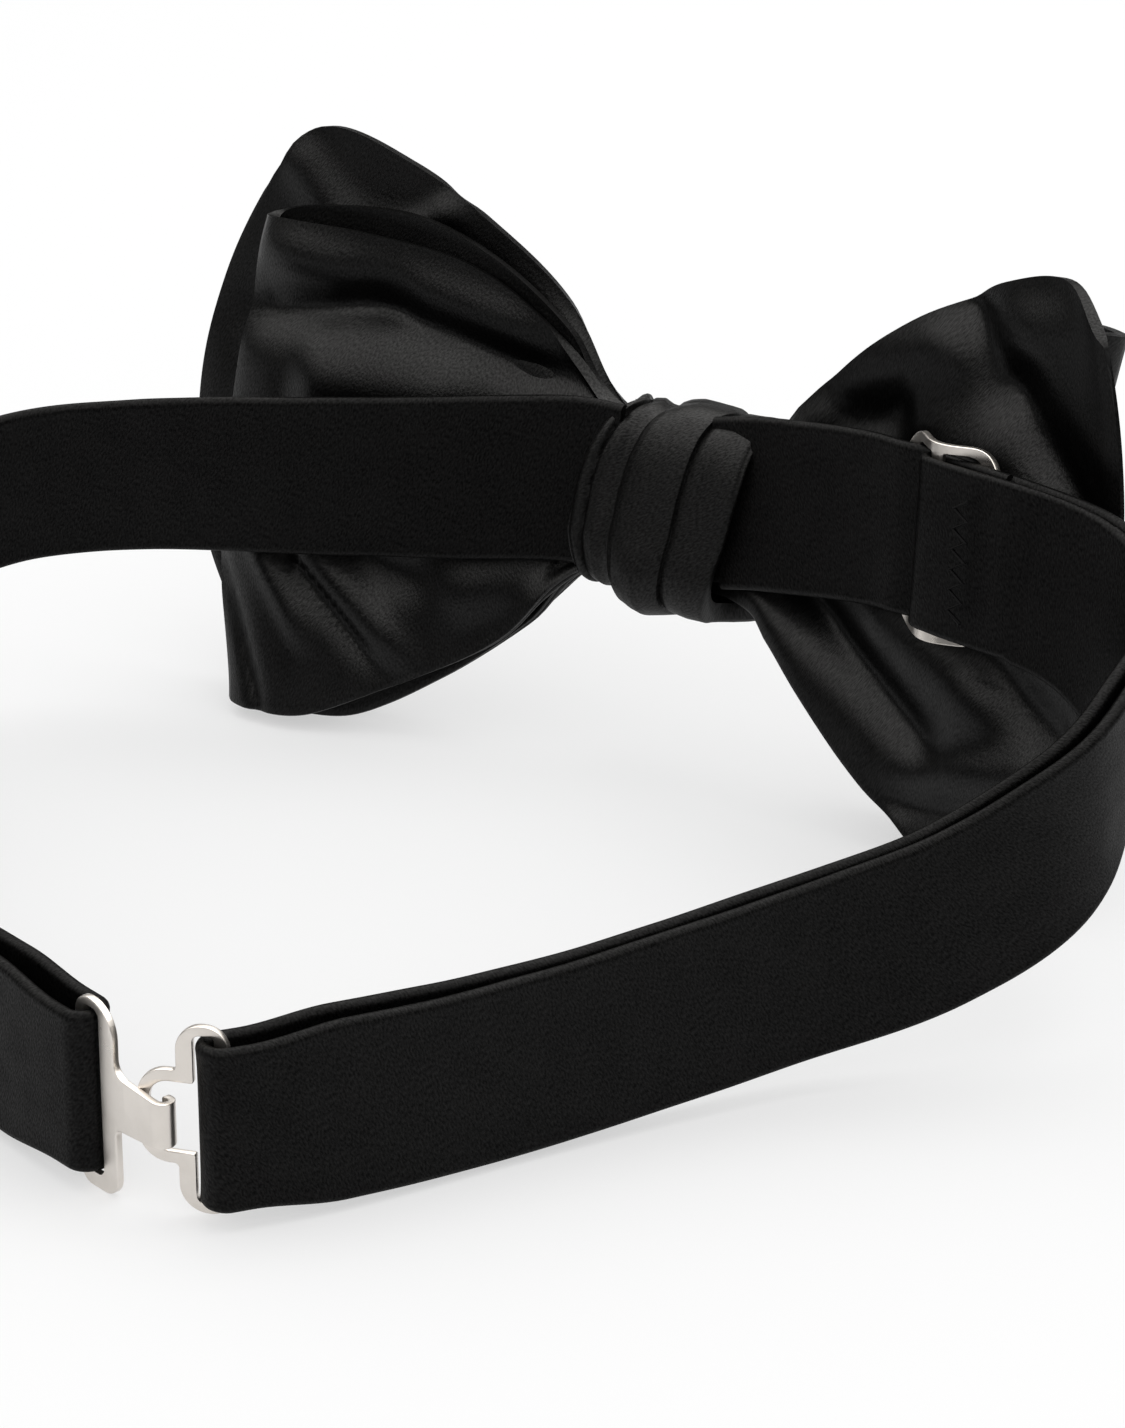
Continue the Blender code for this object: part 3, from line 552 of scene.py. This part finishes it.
# Folds of each leaf: from (along, up) to (along, up), reach to each side, height to the rear
LOOP_REAR_FOLDS = (
    (54.0, 20.0, 20.0, 14.0, 3.2, 1.2),
    (56.0, 12.0, 38.0, 15.5, 3.4, -2.4),
    (40.0, 15.5, 17.0, 9.5, 3.0, -2.4),
    (46.0, 5.5, 28.0, 5.0, 6.0, 2.6),
    (52.0, -14.0, 44.0, -26.0, 1.5, 1.1),
    (50.0, -14.0, 36.0, -27.0, 1.4, -1.2),
    (46.5, -13.0, 32.0, -26.0, 1.5, 1.2),
    (42.0, -13.0, 28.0, -19.0, 3.4, -1.6),
    (32.0, -19.0, 15.0, -14.0, 3.4, 1.3),
    (58.0, -16.0, 50.0, -36.0, 1.2, -0.9),
)
END_REAR_FOLDS = (
    (-20.0, 13.0, -30.0, 15.0, 3.4, -1.6),
    (-22.0, 20.0, -50.0, 29.0, 4.0, 1.6),
    (-34.0, 30.0, -43.0, 20.0, 3.2, -2.6),
    (-43.0, 20.0, -56.0, 8.0, 3.4, -2.4),
    (-30.0, 16.0, -40.0, 10.0, 5.0, 1.2),
    (-17.0, -7.0, -38.0, -22.0, 3.0, -2.4),
    (-28.0, -7.0, -46.0, -15.0, 4.2, 1.8),
    (-44.0, -10.0, -58.0, -17.0, 3.0, -1.8),
    (-38.0, -25.0, -54.0, -21.0, 2.6, 1.2),
    (-34.0, -29.0, -48.0, -27.0, 2.2, -1.0),
)
LOOP_FRONT_FOLDS = (
    (-16.0, 9.0, -44.0, 20.0, 3.6, 1.2),
    (-15.0, 4.0, -46.0, 6.0, 4.5, -1.3),
    (-16.0, -6.0, -46.0, -9.0, 5.0, 1.6),
    (-16.0, -11.0, -42.0, -24.0, 3.6, -1.2),
    (-20.0, 16.0, -36.0, 26.0, 3.0, -0.9),
)
END_FRONT_FOLDS = (
    (15.0, 10.0, 46.0, 22.0, 3.2, 1.2),
    (36.0, 27.0, 44.0, 20.0, 2.0, 1.3),
    (58.0, 30.0, 50.0, 22.0, 2.6, 1.1),
    (15.0, 4.0, 60.0, 10.0, 5.0, -1.5),
    (16.0, -5.0, 58.0, -8.0, 6.0, 1.6),
    (16.0, -11.0, 48.0, -27.0, 4.2, -1.3),
)


# How far the lower corner of the wearer's left wing is drawn in
CORNER_TRIM = 2.4


def folded_ribbon(name, rows, leaves, material, seed):
    """A ribbon with its leaves' folds.

    leaves are (first row, last row, folds, count of pleats, their depth, their phase).
    """
    grid, share = ribbon_grid(rows)
    x, up = grid[..., 0], grid[..., 1]
    path = np.r_[0.0, np.cumsum(np.linalg.norm(np.diff(np.array(rows)[:, :2], axis=0), axis=1))]
    run = np.linspace(0.0, path[-1], len(grid))
    height = np.zeros(x.shape)
    for first, last, folds, count, depth, phase in leaves:
        inside = smoothstep(run, path[first] - 4.0, path[first] + 3.0) * (
            1.0 - smoothstep(run, path[last] - 3.0, path[last] + 4.0)
        )
        shape = gathers(x, share[None], count, depth, phase)
        for fold in folds:
            shape = shape + soft_fold(x, up, fold)
        height += shape * inside[:, None]
    drift = np.array(
        [[noise.noise(Vector((a / 13.0, b / 13.0, seed))) for a, b in zip(*pair)] for pair in zip(x, up)]
    )
    height += 0.35 * drift * smoothstep(np.abs(x), 11.0, 22.0)
    grid[..., 2] += height
    grid[..., 0] -= CORNER_TRIM * smoothstep(-up, 14.0, 36.0) * smoothstep(x, 34.0, 54.0)
    return ribbon_piece(name, bow_places(grid), material)


# The knot wrap's pleats: place along the bow, and height over the sleeve
PLEATS = (
    (11.5, -1.3), (11.0, -0.7), (10.4, -0.45), (9.9, -0.55), (9.4, -1.15), (8.9, -0.75), (7.6, -0.5),
    (6.2, -0.9), (5.2, -1.0), (4.75, -0.5), (3.8, -0.1), (2.0, 0.25), (0.0, 0.35), (-2.0, 0.3),
    (-3.2, 0.2), (-3.7, 0.05), (-3.82, -0.45), (-5.0, -0.15), (-8.0, 0.05), (-11.0, 0.0), (-11.5, -0.5),
)
LAP_SLANT = 0.05

# The wrap's two sides on the neck side: height and place along the bow, from the bottom up
LEFT_SIDE = ((-13.0, 9.6), (-10.0, 11.2), (-5.0, 12.0), (1.0, 11.4), (5.0, 10.4), (9.0, 8.8), (12.0, 7.0))
RIGHT_SIDE = ((-13.0, -6.8), (-8.0, -8.2), (-3.0, -9.6), (5.0, -10.8), (12.0, -11.5))


def knot_wrap(material):
    """The pleated sleeve: a rounded box section round the ribbons, fanned out on the neck side."""
    outer = np.r_[np.linspace(-11.5, -4.5, 26), np.linspace(-4.4, -3.1, 34), np.linspace(-2.9, 11.5, 80)]
    inner = np.linspace(11.0, -11.0, 12)
    along = np.r_[outer, inner]
    is_inner = np.r_[np.zeros(len(outer)), np.ones(len(inner))]
    angle = np.linspace(0.0, 2.0 * math.pi, 190, endpoint=False)
    x, a = np.meshgrid(along, angle, indexing="ij")
    inner_grid = np.broadcast_to(is_inner[:, None], x.shape)
    across, through = np.cos(a), np.sin(a)
    reach = (np.abs(across) ** KNOT_CORNER + np.abs(through) ** KNOT_CORNER) ** (-1 / KNOT_CORNER)
    height = KNOT_HALF_HEIGHT * across * reach
    slanted = x - LAP_SLANT * height * through
    xs, hs = np.array(sorted(PLEATS)).T
    pleat = np.interp(slanted, xs, hs)
    drift = np.array(
        [[noise.noise(Vector((p / 5.0, q * 1.3, 3.1))) for p, q in zip(*pair)] for pair in zip(x, a)]
    )
    swell = (1.0 - inner_grid) * (pleat + 0.22 * drift) - inner_grid * 1.5
    low_side = smoothstep(-across, 0.2, 0.9) * (1.0 - inner_grid)
    swell += low_side * np.interp(x, (-11.5, -4.0, 0.0, 3.5, 6.0, 11.5), (0.9, 0.9, 1.5, 1.2, 0.1, 0.0))
    up = (KNOT_HALF_HEIGHT + swell) * reach * across
    rear = (KNOT_HALF_DEPTH + swell) * reach * through
    left = np.interp(up, *np.array(LEFT_SIDE).T)
    right = np.interp(up, *np.array(RIGHT_SIDE).T)
    fanned = right + (left - right) * (x + KNOT_HALF_WIDTH) / (2.0 * KNOT_HALF_WIDTH)
    to_rear = smoothstep(through, -0.7, 0.3)
    along_bow = x * 0.95 + (fanned - x * 0.95) * to_rear
    points = bow_places(np.stack([along_bow, up - KNOT_DROP, rear], axis=-1))
    points = np.concatenate([points, points[:1]], axis=0)
    ring = np.broadcast_to(angle * KNOT_MEAN_RADIUS, x.shape)
    run = np.r_[0.0, np.cumsum(np.abs(np.diff(along)))]
    u = np.broadcast_to(run[:, None], x.shape)
    full_turn = ring[:, :1] + 2 * math.pi * KNOT_MEAN_RADIUS
    uv = np.stack([np.c_[u, u[:, :1]], np.c_[ring, full_turn]], axis=-1)
    uv = np.concatenate([uv, uv[-1:] + np.array([1.3, 0.0])], axis=0)
    piece = grid_piece("knot_wrap_satin", points, uv, material, ends_capped=False)
    work = bmesh.new()
    work.from_mesh(piece.data)
    bmesh.ops.remove_doubles(work, verts=work.verts, dist=1e-7)
    work.to_mesh(piece.data)
    work.free()
    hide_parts("knot_wrap", "knot_tack")
    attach(piece, "bow")


# ---------------------------------------------------------------- metal fittings


def rounded_outline(corners, steps=10):
    """Points of an outline given as (x, y, corner radius), its round corners as arcs."""
    points = []
    for k, (x, y, radius) in enumerate(corners):
        corner = Vector((x, y))
        before = (Vector(corners[k - 1][:2]) - corner).normalized()
        after = (Vector(corners[(k + 1) % len(corners)][:2]) - corner).normalized()
        half = before.angle(after) / 2
        middle = corner + (before + after).normalized() * radius / math.sin(half)
        start = corner + before * radius / math.tan(half) - middle
        end = corner + after * radius / math.tan(half) - middle
        sweep = start.angle_signed(end)
        for u in np.linspace(0.0, 1.0, steps + 1):
            turned = start.copy()
            turned.rotate(Matrix.Rotation(-sweep * u, 2))
            points.append(middle + turned)
    return points


def mirrored(half):
    """A whole outline from its upper half, given left to right."""
    return [*half, *((x, -y, radius) for x, y, radius in reversed(half))]


def stamped(name, outline, windows, material, bend=None):
    """A plate cut from sheet, its edges broken, bent by a function of local x, y and z."""
    curve = bpy.data.curves.new(name, "CURVE")
    curve.dimensions = "2D"
    curve.fill_mode = "BOTH"
    curve.bevel_depth = BROKEN_EDGE
    curve.bevel_resolution = 2
    curve.extrude = METAL / 2 - BROKEN_EDGE
    curve.offset = -BROKEN_EDGE
    for corners in [outline, *windows]:
        spline = curve.splines.new("POLY")
        points = rounded_outline(corners)
        spline.points.add(len(points) - 1)
        spline.use_cyclic_u = True
        for knot, point in zip(spline.points, points):
            knot.co = (point.x, point.y, 0.0, 1.0)
    helper = bpy.data.objects.new(name, curve)
    bpy.context.scene.collection.objects.link(helper)
    graph = bpy.context.evaluated_depsgraph_get()
    mesh = bpy.data.meshes.new_from_object(helper.evaluated_get(graph))
    bpy.data.objects.remove(helper, do_unlink=True)
    work = bmesh.new()
    work.from_mesh(mesh)
    bmesh.ops.remove_doubles(work, verts=work.verts, dist=1e-4)
    if bend:
        low, high = min(v.co.x for v in work.verts), max(v.co.x for v in work.verts)
        for x in np.arange(low + 0.3, high, 0.3):
            geometry = [*work.verts, *work.edges, *work.faces]
            bmesh.ops.bisect_plane(work, geom=geometry, dist=1e-5, plane_co=(x, 0, 0), plane_no=(1, 0, 0))
        for vert in work.verts:
            vert.co = bend(*vert.co)
    bmesh.ops.recalc_face_normals(work, faces=work.faces)
    work.to_mesh(mesh)
    work.free()
    mesh.materials.clear()
    mesh.materials.append(material)
    piece = bpy.data.objects.new(name, mesh)
    bpy.context.scene.collection.objects.link(piece)
    return piece


def place_metal(piece, origin, along, up, through, node, body):
    axes = Matrix([list(along), list(up), list(through)]).transposed().to_4x4()
    piece.data.transform(Matrix.Scale(MM, 4) @ Matrix.Translation(Vector(origin + BELOW_KNOT)) @ axes)
    piece.data.shade_smooth()
    piece.data.set_sharp_from_angle(angle=math.radians(38.0))
    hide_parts(node)
    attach(piece, body)


def follow(course):
    """A bend that carries local x along a polyline of (x, z) places."""
    course = np.array(course)
    run = np.r_[0.0, np.cumsum(np.linalg.norm(np.diff(course, axis=0), axis=1))] + course[0][0]
    tangent = unit(np.gradient(course, run, axis=0))

    def bend(x, y, z):
        place = np.array([np.interp(x, run, column) for column in course.T])
        t = unit(np.array([np.interp(x, run, column) for column in tangent.T]))
        return Vector((place[0] - t[1] * z, y, place[1] + t[0] * z))

    return bend


def make_hook(material):
    heading, tilt = math.radians(HOOK_DIRECTION), math.radians(HOOK_TILT)
    flat = np.array([math.cos(heading), math.sin(heading), 0.0])
    outward = np.array([math.sin(heading), -math.cos(heading), 0.0])
    along = flat * math.cos(tilt) + outward * math.sin(tilt)
    through = outward * math.cos(tilt) - flat * math.sin(tilt)
    outline = [
        (-0.75, 10.3, 2.2), (5.3, 10.3, 3.6), (5.3, 3.0, 1.7), (15.2, 2.3, 0.4),
        (15.2, -2.3, 0.4), (5.3, -3.0, 0.8), (5.3, -11.0, 2.2), (-0.75, -11.0, 1.6),
    ]
    slot = mirrored([(0.75, 9.3, 0.5), (3.0, 9.3, 0.9)])
    arc = np.radians(np.linspace(90.0, -90.0, 14))
    course = [(-1.0, 0.0), (5.0, 0.0), (11.0, 0.0)]
    course += [(11.4 + 0.95 * math.cos(a), 0.95 * math.sin(a) - 0.95) for a in arc]
    course += [(10.4, -1.9), (9.6, -1.86)]
    piece = stamped("hook_nickel", outline, [slot], material, follow(course))
    place_metal(piece, joint_point("hook_pivot"), along, UP, through, "hook", "hook")


def make_eye(material):
    heading = math.radians(EYE_DIRECTION)
    along = np.array([math.cos(heading), math.sin(heading), 0.0])
    outward = np.array([-math.sin(heading), math.cos(heading), 0.0])
    half = [(-0.75, 10.4, 2.4), (4.8, 10.4, 2.9), (4.8, 5.2, 0.5), (8.9, 5.2, 3.1)]
    window = [(0.75, 9.3, 0.4), (3.0, 9.3, 0.8), (3.0, 3.9, 0.3), (7.7, 3.9, 2.1)]
    piece = stamped("eye_nickel", mirrored(half), [mirrored(window)], material)
    place_metal(piece, joint_point("eye_pivot"), along, UP, -outward, "eye", "eye")


# ---------------------------------------------------------------- assembly

BLACK = satin("black_satin", (0.0001, 0.0001, 0.0001), (0.0045, 0.0043, 0.0042), 0.42, 0.08)
BOW_BLACK = satin("bow_satin", (0.0002, 0.0002, 0.0002), (0.0014, 0.0013, 0.0013), 0.36, 0.19)
KNOT_BLACK = satin("knot_satin", (0.0006, 0.0006, 0.0006), (0.005, 0.0048, 0.0046), 0.42, 0.19)
THREAD = thread_material()
NICKEL = nickel_material()


def fabric(piece, nodes, body=None):
    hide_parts(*nodes)
    if body:
        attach(piece, body)
    else:
        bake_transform(piece)


def under_slider(t):
    """How the arm weaves over the slider's side bars and under its middle bar."""
    lift = WEAVE_LIFT * np.exp(-(((np.abs(t) - 6.5) / 2.2) ** 2))
    return lift - WEAVE_DIP * np.exp(-((t / 3.0) ** 2))


def lined(node):
    """A fabric node and its interlining."""
    return node, node + "_interlining"


def make_neckband():
    fixed = Path(FIXED_ARM, -1)
    adjusting = Path(ADJUSTING_ARM, 1)

    inside = ((-9, 4.1, 34.6), (0, 4.0, 33.2), (9, 4.1, 33.4))
    centre = catmull_rom(inside, 1.0, 3)[1]
    count = len(centre)
    sides = np.tile(BOW_UP, (count, 1)), np.tile(BOW_REAR, (count, 1))
    frames = (centre, *sides, np.full(count, MIDDLE_HALF_WIDTH))
    middle = strap("neckband_middle", frames, BLACK, MIDDLE_THICKNESS)
    fabric(middle, lined("neckband_center"), body="bow")

    frames = folded(fixed, 1.0, fixed.length - FOLD_BACK, 1.0)
    arm = strap("fixed_arm_strap", frames, BLACK, seed=1)
    fabric(arm, lined("fixed_arm"))

    slider_at = adjusting.nearest(SLIDER_PLACE)
    near = np.arange(1.0, slider_at + 2.0, STEP)
    frames = adjusting.frames(near, ripple(adjusting, near, 2.0) + under_slider(near - slider_at))
    arm = strap("adjusting_arm_strap", frames, BLACK, seed=4)
    fabric(arm, lined("adjusting_arm"))

    frames = folded(adjusting, near[-1], slider_at + END_LAYER_START, 2.0)
    outer = (np.arange(len(frames[0])) < WOVEN_ROWS)[:, None]
    beyond = np.arange(len(frames[0])) * STEP + near[-1] - slider_at
    frames[0][:] += frames[2] * under_slider(beyond)[:, None] * outer
    end = strap("adjusting_end_strap", frames, BLACK, seed=6)
    nodes = (*lined("adjusting_end"), *lined("adjusting_inner_layer"))
    fabric(end, nodes)
    make_slider(adjusting, slider_at)


def make_slider(path, place):
    """The three-bar slider, and the strap's end from its fold round the middle bar to the inner layer."""
    origin, up, neck, _ = [part[0] for part in path.frames([place], 0.0)]
    along = np.cross(up, neck) * path.neck_side
    corner = (SLIDER_HALF_WIDTH, SLIDER_HALF_HEIGHT, 3.4)
    outline = mirrored([(-corner[0], *corner[1:]), corner])
    windows = [
        mirrored([(-4.9, 10.4, 1.8), (-0.75, 10.4, 0.4)]),
        mirrored([(0.75, 10.4, 0.4), (4.9, 10.4, 1.8)]),
    ]
    inner = np.linspace(-ARCH_SPAN / 2, ARCH_SPAN / 2, 40)
    arch = [(t, SIDE_BAR_HEIGHT + ARCH_RISE * math.cos(math.pi * t / ARCH_SPAN) ** 2) for t in inner]
    x, z = np.array([(-6.9, SIDE_BAR_HEIGHT), *arch, (6.9, SIDE_BAR_HEIGHT)]).T

    def bend(t, y, n):
        slope = np.interp(t + 0.1, x, z) - np.interp(t - 0.1, x, z)
        lean = math.atan2(slope, 0.2)
        return Vector((t - math.sin(lean) * n, y, np.interp(t, x, z) + math.cos(lean) * n))

    piece = stamped("slider_nickel", outline, windows, NICKEL, bend)
    place_metal(piece, origin, along, up, neck, "slider_frame", "slider")

    turn = np.radians(np.linspace(-75.0, 75.0, 13))
    tail = [(t, 0.5) for t in np.linspace(9.5, 0.6, 9)]
    tail += [(-1.6 * math.cos(a), 1.7 + 1.2 * math.sin(a)) for a in turn]
    tail += [(0.6, 2.9), (1.8, 2.92), (3.0, 2.9), (5.0, 2.8)]
    tail += [(7.0, 2.65), (8.8, 2.5), (10.5, 2.4), (12.5, 2.3)]
    tail = np.array(tail)
    course = unit(np.gradient(tail, axis=0))
    centre = origin + along * tail[:, :1] + neck * tail[:, 1:]
    through = neck * course[:, :1] - along * course[:, 1:]
    count = len(tail)
    fold = (centre, np.tile(up, (count, 1)), through, np.full(count, BAND_WIDTH / 2))
    onward = np.arange(place + 14.0, place + END_LAYER_START + 0.01, STEP)
    layer = path.frames(onward, LAYER_PITCH + ripple(path, onward, 2.0))
    frames = tuple(np.concatenate(parts) for parts in zip(fold, layer))
    end = strap("slider_strap_end_satin", frames, BLACK, STRAP_END_THICKNESS, seed=8)
    fabric(end, ("slider_strap_end",))


# Each ribbon's leaves: first and last row, folds, and the pleats' count, depth and phase
BACK_LEAVES = (
    (0, 8, END_REAR_FOLDS, 2.5, 1.1, 0.6),
    (9, 14, LOOP_REAR_FOLDS, 2.5, 1.0, 2.2),
    (14, 19, (), 2.5, 0.7, 2.2),
)
FRONT_LEAVES = (
    (0, 6, END_FRONT_FOLDS, 2.5, 1.0, 1.1),
    (6, 11, (), 2.5, 0.8, 2.6),
    (11, 17, LOOP_FRONT_FOLDS, 2.5, 1.1, 2.6),
)


def make_bow():
    back = folded_ribbon("back_ribbon_satin", BACK_RIBBON, BACK_LEAVES, BOW_BLACK, 2.0)
    fabric(back, ("back_ribbon", "back_ribbon_interlining"), body="bow")
    front = folded_ribbon("front_ribbon_satin", FRONT_RIBBON, FRONT_LEAVES, BOW_BLACK, 5.0)
    fabric(front, ("front_ribbon", "front_ribbon_interlining"), body="bow")
    knot_wrap(KNOT_BLACK)


def make_surround():
    """An even white surround, seen in shiny things as a room that is dark at eye level."""
    world = bpy.data.worlds.new("studio")
    bpy.context.scene.world = world
    world.use_nodes = True
    tree = world.node_tree
    add, link = tree.nodes.new, tree.links.new
    even = tree.nodes["Background"]
    even.inputs["Color"].default_value = (1.0, 1.0, 1.0, 1.0)
    even.inputs["Strength"].default_value = 0.98
    direction = add("ShaderNodeTexCoord")
    split = add("ShaderNodeSeparateXYZ")
    link(direction.outputs["Generated"], split.inputs[0])
    rise = add("ShaderNodeMapRange")
    rise.interpolation_type = "SMOOTHSTEP"
    for key, value in (("From Min", 0.12), ("From Max", 0.75), ("To Min", 0.03), ("To Max", 2.6)):
        rise.inputs[key].default_value = value
    link(split.outputs["Z"], rise.inputs["Value"])
    room = add("ShaderNodeBackground")
    room.inputs["Color"].default_value = (1.0, 0.985, 0.96, 1.0)
    link(rise.outputs["Result"], room.inputs["Strength"])
    ray = add("ShaderNodeLightPath")
    mix = add("ShaderNodeMixShader")
    link(ray.outputs["Is Glossy Ray"], mix.inputs[0])
    link(even.outputs[0], mix.inputs[1])
    link(room.outputs[0], mix.inputs[2])
    link(mix.outputs[0], tree.nodes["World Output"].inputs["Surface"])


CAMERA_PLACE = (-280.67, 455.01, 243.08)
CAMERA_TARGET = (18.64, -1.61, 0.0)
CAMERA_LENS = 123.7


def make_stage():
    """A pale floor, a white surround, one broad soft light above and a camera from behind."""
    scene = bpy.context.scene
    bpy.ops.mesh.primitive_plane_add(size=6.0, location=(0.0, 0.0, -0.00005))
    floor = bpy.context.object
    floor.name = "floor"
    pale = Nodes("pale_floor")
    pale.shade(Base_Color=(0.42, 0.42, 0.42, 1.0), Roughness=0.95, Specular_IOR_Level=0.0)
    pale.shade(Emission_Color=(1.0, 1.0, 1.0, 1.0), Emission_Strength=0.53)
    floor.data.materials.append(pale.material)

    make_surround()
    soft_light("overhead", (-100.0, -200.0, 900.0), 0.7, 1.6)

    camera = bpy.data.cameras.new("camera")
    eye = bpy.data.objects.new("camera", camera)
    scene.collection.objects.link(eye)
    place, target = Vector(in_frame(CAMERA_PLACE)), Vector(in_frame(CAMERA_TARGET))
    eye.location = place
    eye.rotation_euler = (target - place).to_track_quat("-Z", "Y").to_euler()
    camera.sensor_fit = "VERTICAL"
    camera.sensor_height = 36.0
    camera.lens = CAMERA_LENS
    camera.clip_start = 0.01
    scene.camera = eye
    scene.view_settings.view_transform = "Standard"


LIGHT_TARGET = (0.0, 50.0, 20.0)


def soft_light(name, place, size, power):
    light = bpy.data.lights.new(name, "AREA")
    light.shape = "DISK"
    light.size = size
    light.energy = power
    holder = bpy.data.objects.new(name, light)
    holder.location = in_frame(place)
    aim = Vector(in_frame(LIGHT_TARGET)) - holder.location
    holder.rotation_euler = aim.to_track_quat("-Z", "Y").to_euler()
    bpy.context.scene.collection.objects.link(holder)


def stitches():
    """The sewn rows stay the CAD's threads, with their own finish."""
    for node in ("hook_fold_stitching", "slider_stitching"):
        piece = frame["nodes"][node]
        piece.data.materials.clear()
        piece.data.materials.append(THREAD)


make_neckband()
make_bow()
make_hook(NICKEL)
make_eye(NICKEL)
stitches()
make_stage()
